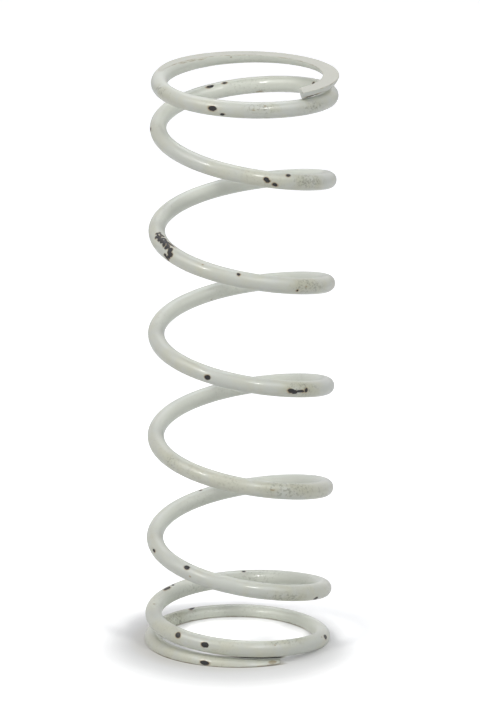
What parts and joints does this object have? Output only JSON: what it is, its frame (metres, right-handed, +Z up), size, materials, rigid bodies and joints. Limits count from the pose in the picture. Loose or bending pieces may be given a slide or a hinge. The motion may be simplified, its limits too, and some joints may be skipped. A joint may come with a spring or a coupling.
{
  "type": "bleeder spring",
  "caption": "Left-hand helical compression spring of round wire with closed, ground ends and chipped white paint.",
  "frame": {"origin": "on the floor, where the coil's axis meets the lower ground face", "axes": "+Z up the coil's axis, from the lower ground face to the upper one; +X to the right and +Y away from the viewer in the picture"},
  "size_m": [0.026, 0.0258, 0.08],
  "materials": {
    "painted_wire": "satin"
  },
  "bodies": {
    "root": {"spring": "painted_wire"}
  },
  "joints": []
}
